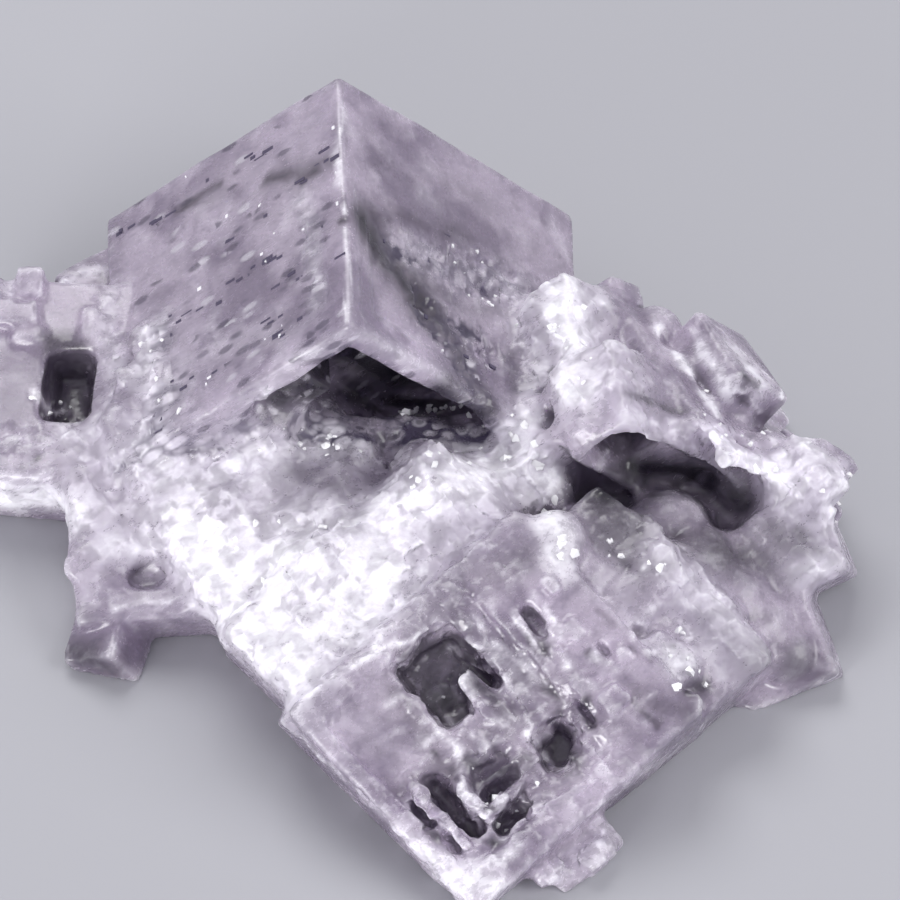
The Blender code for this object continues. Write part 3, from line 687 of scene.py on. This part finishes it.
# How milky, dark, sugary and soft each point is in the end. Milk covers what is dark under it; a crust is
# threaded and curdled with milk; deep hollows get painted shade, and the gaps between curds are dark.
_, milky, dark_and_shade, sugary, soft = lay_strokes(frayed)
seamed = seams(body_mesh)
soft = np.maximum(soft, SEAM_SOFTNESS * seamed)
sugary = np.maximum(sugary, seamed)
milky = np.maximum(milky, far_side(normals) * np.clip(0.8 * seamed + 2.0 * (clouds - 0.1), 0, 0.8))
crust = np.maximum(soft, sugary)
bare = 1 - 0.9 * milky
dark_and_shade *= bare
curdled = 1 + (0.8 - 0.5 * milky) * np.clip(curds, -0.5, 0.2)
milky = np.clip(milky * curdled + 0.5 * worn, 0, 1)
milky = np.maximum(milky, crust * np.clip(0.8 - threads / 0.06, 0, 0.7))
milky = np.maximum(milky, 0.6 * np.clip((curds - 0.12) / 0.35, 0, 1) * (0.35 + 0.65 * crust))
# Painted shade: the more enclosed a point is, the darker its colour is painted.
dark_and_shade = np.maximum(dark_and_shade, np.clip((enclosed - 0.45) / 0.5, 0, 0.66) * bare)
dark_and_shade = np.maximum(dark_and_shade, 0.22 * np.clip((-curds - 0.20) / 0.3, 0, 1) * (0.3 + 0.7 * crust))

# Brine pockets speckle the main cube, its right face only half as much.
on_right = (points - np.array(NEAR_CORNER)) @ np.array(left_way) < 0.3 * MM
speckled = on_main_cube * np.where(on_right, 0.5, 1)
for name, shares in (("salt", (milky, dark_and_shade, sugary)), ("zones", (0.5 + clouds, speckled, soft))):
    kept = body_mesh.attributes.new(name, "FLOAT_VECTOR", "POINT")
    kept.data.foreach_set("vector", np.stack(shares, axis=1).ravel().astype(np.float32))

body = bpy.data.objects.new("halite_body", body_mesh)
bpy.context.scene.collection.objects.link(body)


def linear(hex_colour):
    """An sRGB hex colour as linear RGBA."""
    parts = [int(hex_colour[i : i + 2], 16) / 255 for i in (1, 3, 5)]
    return [c / 12.92 if c <= 0.04045 else ((c + 0.055) / 1.055) ** 2.4 for c in parts] + [1]


def add(tree, kind, inputs=None, **settings):
    """One shader node: its settings, and each input's value or the socket that feeds it."""
    made = tree.nodes.new(kind)
    for name, value in settings.items():
        setattr(made, name, value)
    for name, value in (inputs or {}).items():
        if isinstance(value, bpy.types.NodeSocket):
            tree.links.new(value, made.inputs[name])
        else:
            made.inputs[name].default_value = value
    return made


# Grown salt: water-clear in thin places, clouded by brine pockets too small to see, so light goes in, is
# scattered grey-violet and comes out again. Refractive index of halite 1.544.
HALITE_IOR = 1.544

salt = bpy.data.materials.new("rock_salt")
salt.use_nodes = True
tree = salt.node_tree
tree.nodes.clear()
salt_shares = add(tree, "ShaderNodeAttribute", attribute_name="salt").outputs["Vector"]
milky_share, dark_and_shade_share, sugary_share = add(tree, "ShaderNodeSeparateXYZ", {0: salt_shares}).outputs
zone_shares = add(tree, "ShaderNodeAttribute", attribute_name="zones").outputs["Vector"]
cloud_share, speckled_share, soft_share = add(tree, "ShaderNodeSeparateXYZ", {0: zone_shares}).outputs

# The grain is in millimetres, square with the main cube and drawn out along its left edge.
coords = add(tree, "ShaderNodeTexCoord").outputs["Object"]
in_mm = add(
    tree, "ShaderNodeVectorMath", {0: coords, 1: (1 / MM, 1 / MM, 1 / MM)}, operation="MULTIPLY"
).outputs[0]
turn = Matrix((ridge_way, left_way, -right_way)).to_euler()
in_cube = add(tree, "ShaderNodeMapping", {"Vector": in_mm, "Rotation": turn}).outputs[0]
drawn_out = add(
    tree, "ShaderNodeVectorMath", {0: in_cube, 1: (2.6, 1.05, 2.6)}, operation="MULTIPLY"
).outputs[0]
grains = add(
    tree, "ShaderNodeTexNoise", {"Vector": drawn_out, "Scale": 1.2, "Detail": 3, "Roughness": 0.75}
).outputs["Fac"]

# Clouded grey-violet salt, greyer where it is clear, and grainy where it is milky.
cloudy = add(
    tree, "ShaderNodeMapRange", {"Value": cloud_share, "From Min": 0.25, "From Max": 0.75}
).outputs[0]
colour = add(
    tree,
    "ShaderNodeMix",
    {"Factor": cloudy, 6: linear("#968a9f"), 7: linear("#c2b6c9")},
    data_type="RGBA",
).outputs[2]
grey = add(
    tree,
    "ShaderNodeMapRange",
    {"Value": grains, "From Min": 0.25, "From Max": 0.48, "To Min": 0.42, "To Max": 0.0},
).outputs[0]
grainy = add(
    tree,
    "ShaderNodeMapRange",
    {"Value": grains, "From Min": 0.3, "From Max": 0.7, "To Min": -0.5, "To Max": 0.35},
).outputs[0]
milk = add(
    tree,
    "ShaderNodeMath",
    {0: milky_share, 1: grainy, 2: milky_share},
    operation="MULTIPLY_ADD",
    use_clamp=True,
).outputs[0]

# Rows of brine pockets lie just under the main cube's faces; some are painted pale, a painted reflection.
pockets = add(tree, "ShaderNodeTexVoronoi", {"Vector": drawn_out, "Scale": 1.0}, feature="F1")
picked = add(tree, "ShaderNodeSeparateColor", {0: pockets.outputs["Color"]})
distance = pockets.outputs["Distance"]
pocket = add(
    tree,
    "ShaderNodeMapRange",
    {"Value": distance, "From Min": 0.26, "From Max": 0.42, "To Min": 1.0, "To Max": 0.0},
).outputs[0]
is_sown = add(
    tree, "ShaderNodeMath", {0: picked.outputs[0], 1: cloud_share}, operation="GREATER_THAN"
).outputs[0]
in_rows = add(
    tree,
    "ShaderNodeMapRange",
    {"Value": speckled_share, "From Min": 0.5, "From Max": 1.0, "To Min": 0.12, "To Max": 1.0},
).outputs[0]
for share in (is_sown, in_rows, speckled_share, 0.62):
    pocket = add(tree, "ShaderNodeMath", {0: pocket, 1: share}, operation="MULTIPLY").outputs[0]
# Painted reflection: a share of the pockets is coloured pale instead of dark.
shows_painted_reflection = add(
    tree, "ShaderNodeMath", {0: picked.outputs[1], 1: 0.75}, operation="GREATER_THAN"
).outputs[0]
pocket_colour = add(
    tree,
    "ShaderNodeMix",
    {"Factor": shows_painted_reflection, 6: linear("#4c465a"), 7: linear("#e8e4ee")},
    data_type="RGBA",
).outputs[2]

# Gas bubbles in the sugary salt show as pale rounds with a dark rim.
rim = add(
    tree, "ShaderNodeMapRange", {"Value": distance, "From Min": 0.36, "From Max": 0.62, "To Max": 0.65}
).outputs[0]
for share in (sugary_share, speckled_share):
    rim = add(tree, "ShaderNodeMath", {0: rim, 1: share}, operation="MULTIPLY").outputs[0]
rim = add(tree, "ShaderNodeMath", {0: rim, 1: 2.0}, operation="MULTIPLY", use_clamp=True).outputs[0]

# One colour is laid over another: grey, crust, milk, dark places and painted shade, rims of bubbles and
# brine pockets.
for share, over in (
    (grey, linear("#6a6178")),
    (soft_share, linear("#cbc2d3")),
    (milk, linear("#f3f1f7")),
    (dark_and_shade_share, linear("#201d29")),
    (rim, linear("#554e64")),
    (pocket, pocket_colour),
):
    inputs = {"Factor": share, 6: colour, 7: over}
    colour = add(tree, "ShaderNodeMix", inputs, data_type="RGBA").outputs[2]

# Milk shuts the light out, and dark places are where it goes deepest. Clean faces are glossy in patches,
# the crust is duller, and only the crust has a relief that shows.
clear = add(
    tree,
    "ShaderNodeMapRange",
    {"Value": milk, "From Min": 0.0, "From Max": 0.8, "To Min": 0.30, "To Max": 0.04},
).outputs[0]
clear = add(
    tree, "ShaderNodeMath", {0: dark_and_shade_share, 1: 0.35, 2: clear}, operation="MULTIPLY_ADD", use_clamp=True
).outputs[0]
rough = add(
    tree,
    "ShaderNodeMapRange",
    {"Value": grains, "From Min": 0.3, "From Max": 0.7, "To Min": 0.14, "To Max": 0.36},
).outputs[0]
rough = add(
    tree, "ShaderNodeMath", {0: soft_share, 1: 0.16, 2: rough}, operation="MULTIPLY_ADD"
).outputs[0]
rough = add(
    tree, "ShaderNodeMath", {0: dark_and_shade_share, 1: -0.15, 2: rough}, operation="MULTIPLY_ADD", use_clamp=True
).outputs[0]
relief = add(
    tree, "ShaderNodeTexNoise", {"Vector": drawn_out, "Scale": 1.2, "Detail": 1, "Roughness": 0.6}
).outputs["Fac"]
crusty = add(tree, "ShaderNodeMath", {0: sugary_share, 1: soft_share}, operation="MAXIMUM").outputs[0]
height = add(
    tree,
    "ShaderNodeMapRange",
    {"Value": crusty, "From Min": 0.0, "From Max": 0.5, "To Min": 0.18, "To Max": 1.0},
).outputs[0]
relief = add(tree, "ShaderNodeMath", {0: relief, 1: height}, operation="MULTIPLY").outputs[0]
bump = add(tree, "ShaderNodeBump", {"Height": relief, "Strength": 0.5, "Distance": 0.09 * MM}).outputs[0]
shader = add(
    tree,
    "ShaderNodeBsdfPrincipled",
    {
        "Base Color": colour,
        "Roughness": rough,
        "IOR": HALITE_IOR,
        "Transmission Weight": clear,
        "Subsurface Weight": 0.8,
        "Subsurface Radius": (1.0, 0.93, 1.06),
        "Subsurface Scale": 1.3 * MM,
        "Normal": bump,
    },
)
shader.subsurface_method = "BURLEY"
depth = add(tree, "ShaderNodeVolumeAbsorption", {"Color": linear("#b9add0"), "Density": 70})
add(tree, "ShaderNodeOutputMaterial", {"Surface": shader.outputs[0], "Volume": depth.outputs[0]})
body_mesh.materials.append(salt)
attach(body, "root")
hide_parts("halite_cluster")


# -----------------------------------------------------------------------------
# Pockets in the salt.
# Brine and gas were shut in as the main cube grew: small flat boxes, square with the cube, strung out in
# rows under its two upper faces. Brine looks dark; gas is painted near white, a painted reflection.

POCKET_DEPTH = (0.0, 0.10)
POCKET_WIDTH = (0.05, 0.13)
POCKET_HEIGHT = (0.03, 0.07)
POCKET_ROWS = 22
POCKETS_ON_LEFT = 0.94


def made_of(name, bm):
    """An object of this bmesh, which is freed."""
    mesh = bpy.data.meshes.new(name)
    bm.to_mesh(mesh)
    bm.free()
    made = bpy.data.objects.new(name, mesh)
    bpy.context.scene.collection.objects.link(made)
    return made


def plain(name, colour, roughness):
    """A material of one colour and one roughness."""
    made = bpy.data.materials.new(name)
    made.use_nodes = True
    shader = made.node_tree.nodes["Principled BSDF"]
    shader.inputs["Base Color"].default_value = linear(colour)
    shader.inputs["Roughness"].default_value = roughness
    return made


def pockets_piece(name, seed, count, long_side, colour, roughness):
    """A mesh of small boxes under the main cube's left and right faces."""
    rng = random.Random(seed)
    bm = bmesh.new()
    rows = []
    for _ in range(POCKET_ROWS):
        rows.append((rng.uniform(0.5, 8.8), rng.uniform(0.4, 9.2), rng.uniform(0.5, 2.6)))
    for _ in range(count):
        back, down, spread = rng.choice(rows)
        on_left = rng.random() < POCKETS_ON_LEFT
        along = min(max(down + rng.gauss(0, spread), 0.3), 9.6)
        behind = min(max(back + rng.gauss(0, 0.16), 0.3), 9.1)
        deep = rng.uniform(*POCKET_DEPTH)
        length = rng.uniform(*long_side)
        width = rng.uniform(*POCKET_WIDTH)
        height = rng.uniform(*POCKET_HEIGHT)
        if on_left:
            middle = ridge_way * behind + left_way * along + right_way * deep
            sides = (width, length, height)
        else:
            middle = ridge_way * behind + right_way * along + left_way * deep
            sides = (width * 1.3, height, length * 0.6)
        place = Matrix.Translation(NEAR_CORNER + middle * MM) @ main_ways.transposed().to_4x4()
        box = Matrix.Diagonal([side * MM for side in sides]).to_4x4()
        bmesh.ops.create_cube(bm, size=1, matrix=place @ box)
    piece = made_of(name, bm)
    piece.data.materials.append(plain(name, colour, roughness))
    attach(piece, "root")


pockets_piece("brine_pockets", 11, 230, (0.12, 0.50), "#4d465c", 0.2)
# Painted reflection: the gas pockets are coloured near white.
pockets_piece("gas_pockets", 12, 70, (0.05, 0.18), "#f4f2f8", 0.15)


# -----------------------------------------------------------------------------
# Grains painted white as glints.
# Small clean chips of salt, half grown into the crust. They hold no brine, and are painted near white
# so that they show as white glints: a painted highlight.

GRAIN_LEAN = 0.4
GRAIN_UNEVEN = 0.1

# A path on the surface, how many grains lie along it, how far they stray from it, and their sides' range.
GRAINS = (
    (((1.54, -2.72), (2.16, -2.59), (3.58, -2.53)), 26, 0.04, (0.12, 0.22)),  # ledge in the hollow
    # ledge under the hollow
    (((-3.4, -4.17), (-0.62, -3.71), (2.47, -3.55), (4.32, -3.86)), 18, 0.37, (0.08, 0.22)),
    (((2.32, -3.8), (2.78, -4.02), (1.54, -5.16)), 8, 0.19, (0.10, 0.26)),  # below the slot
    # corner between main cube, slab and shoulder
    (((4.63, -3.24), (6.02, -3.09), (5.1, -4.23), (5.81, -4.17)), 9, 0.25, (0.12, 0.34)),
    (((6.12, -5.56), (6.36, -6.8), (6.95, -7.26)), 8, 0.22, (0.15, 0.38)),  # beside the cave
    (((7.72, -6.8), (9.05, -7.51), (9.58, -7.26)), 7, 0.19, (0.10, 0.26)),  # cave floor's arc
    (((-4.02, -6.02), (-0.93, -7.26), (1.24, -5.41)), 12, 0.8, (0.10, 0.26)),  # white mass
    # vein at the left of the main cube
    (((-6.18, -0.15), (-6.02, -1.7), (-5.56, -2.63)), 6, 0.28, (0.08, 0.22)),
    (((10.81, -2.32), (11.89, -3.4), (12.67, -4.02)), 10, 0.37, (0.10, 0.28)),  # flank
    (((15.29, -4.79), (14.98, -6.02)), 6, 0.25, (0.10, 0.24)),  # right tip
    (((6.33, 0.46), (6.64, -0.77), (7.41, -2.01)), 10, 0.37, (0.10, 0.24)),  # white shoulder
    # right margin of the slab
    (((9.42, -10.19), (10.19, -10.04), (10.81, -11.28)), 8, 0.37, (0.12, 0.30)),
    # slab's pits
    (((3.24, -11.58), (4.02, -14.67), (5.25, -15.14), (6.8, -12.82)), 8, 0.31, (0.10, 0.24)),
    (((-9.58, -2.32), (-8.96, -2.63), (-8.03, -2.32)), 4, 0.19, (0.10, 0.24)),  # left block's pit
    (((-4.63, 3.4), (-1.85, 3.86), (-3.71, 0.77)), 4, 0.93, (0.06, 0.14)),  # main cube's left face
    (((2.78, 2.01), (4.63, 0.77), (4.02, -1.39)), 12, 0.56, (0.07, 0.16)),  # main cube's grainy patch
)
body_tree = tree_of(body_mesh)
rng = random.Random(8)
bm = bmesh.new()
for path, count, stray, sides in GRAINS:
    for _ in range(count):
        place = somewhere_along(rng, path, stray)
        ray = (show_plane(*place) - camera.location).normalized()
        seat = body_tree.ray_cast(camera.location, ray)[0]
        if seat is None:
            continue
        side = rng.uniform(*sides)
        turned = (slab_ways.transposed() @ slight_turn(rng, GRAIN_LEAN)).to_4x4()
        stretched = Matrix.Diagonal([side * rng.uniform(0.6, 1.4) * MM for _ in range(3)]).to_4x4()
        place = Matrix.Translation(seat - out_way * SUNK * side * MM) @ turned @ stretched
        for vert in bmesh.ops.create_icosphere(bm, subdivisions=1, radius=0.6, matrix=place)["verts"]:
            push = Vector((rng.gauss(0, 1), rng.gauss(0, 1), rng.gauss(0, 1)))
            vert.co += push * GRAIN_UNEVEN * side * MM
bmesh.ops.recalc_face_normals(bm, faces=bm.faces)
glinting_grains = made_of("glinting_grains", bm)
# Painted highlight: the grains' colour is near white so each one shows as a glint.
glint_white_salt = plain("glint_white_salt", "#fdfcff", 0.12)
glint_white_salt.node_tree.nodes["Principled BSDF"].inputs["IOR"].default_value = HALITE_IOR
glint_white_salt.node_tree.nodes["Principled BSDF"].inputs["Transmission Weight"].default_value = 0.05
glinting_grains.data.materials.append(glint_white_salt)
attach(glinting_grains, "root")


# -----------------------------------------------------------------------------
# The studio.
# A plain pale floor under the cluster and soft boxes round it: the key from low in front on the left, a
# weaker fill from behind on the right, and light from the pale room all round.

FLOOR_SIZE = 1.5

bm = bmesh.new()
bmesh.ops.create_grid(bm, x_segments=1, y_segments=1, size=FLOOR_SIZE)
floor = made_of("floor", bm)
floor.data.materials.append(plain("pale_floor", "#aeaeb4", 0.7))

world = bpy.data.worlds.new("room")
bpy.context.scene.world = world
world.use_nodes = True
world.node_tree.nodes["Background"].inputs["Color"].default_value = linear("#dcdce2")
world.node_tree.nodes["Background"].inputs["Strength"].default_value = 0.7

# Each soft box: its name, its way from the cluster (across, up and out), its distance and size in metres,
# and its power in watts.
LIGHTS = (
    ("key", (-0.62, -0.70, 0.60), 0.35, 0.20, 1.35),
    ("fill", (0.80, 0.20, 0.60), 0.35, 0.24, 0.55),
    ("top", (-0.2, 0.95, 0.35), 0.35, 0.24, 0.6),
)
LIT_HEIGHT = 4
for name, way, distance, size, power in LIGHTS:
    lamp = bpy.data.objects.new(name, bpy.data.lights.new(name, "AREA"))
    bpy.context.scene.collection.objects.link(lamp)
    lamp.data.shape = "DISK"
    lamp.data.size = size
    lamp.data.energy = power
    towards = (across_way * way[0] + up_way * way[1] + out_way * way[2]).normalized()
    lamp.location = Vector((0, 0, LIT_HEIGHT * MM)) + towards * distance
    lamp.rotation_mode = "QUATERNION"
    lamp.rotation_quaternion = (-towards).to_track_quat("-Z", "Y")

bpy.context.scene.view_settings.view_transform = "Standard"
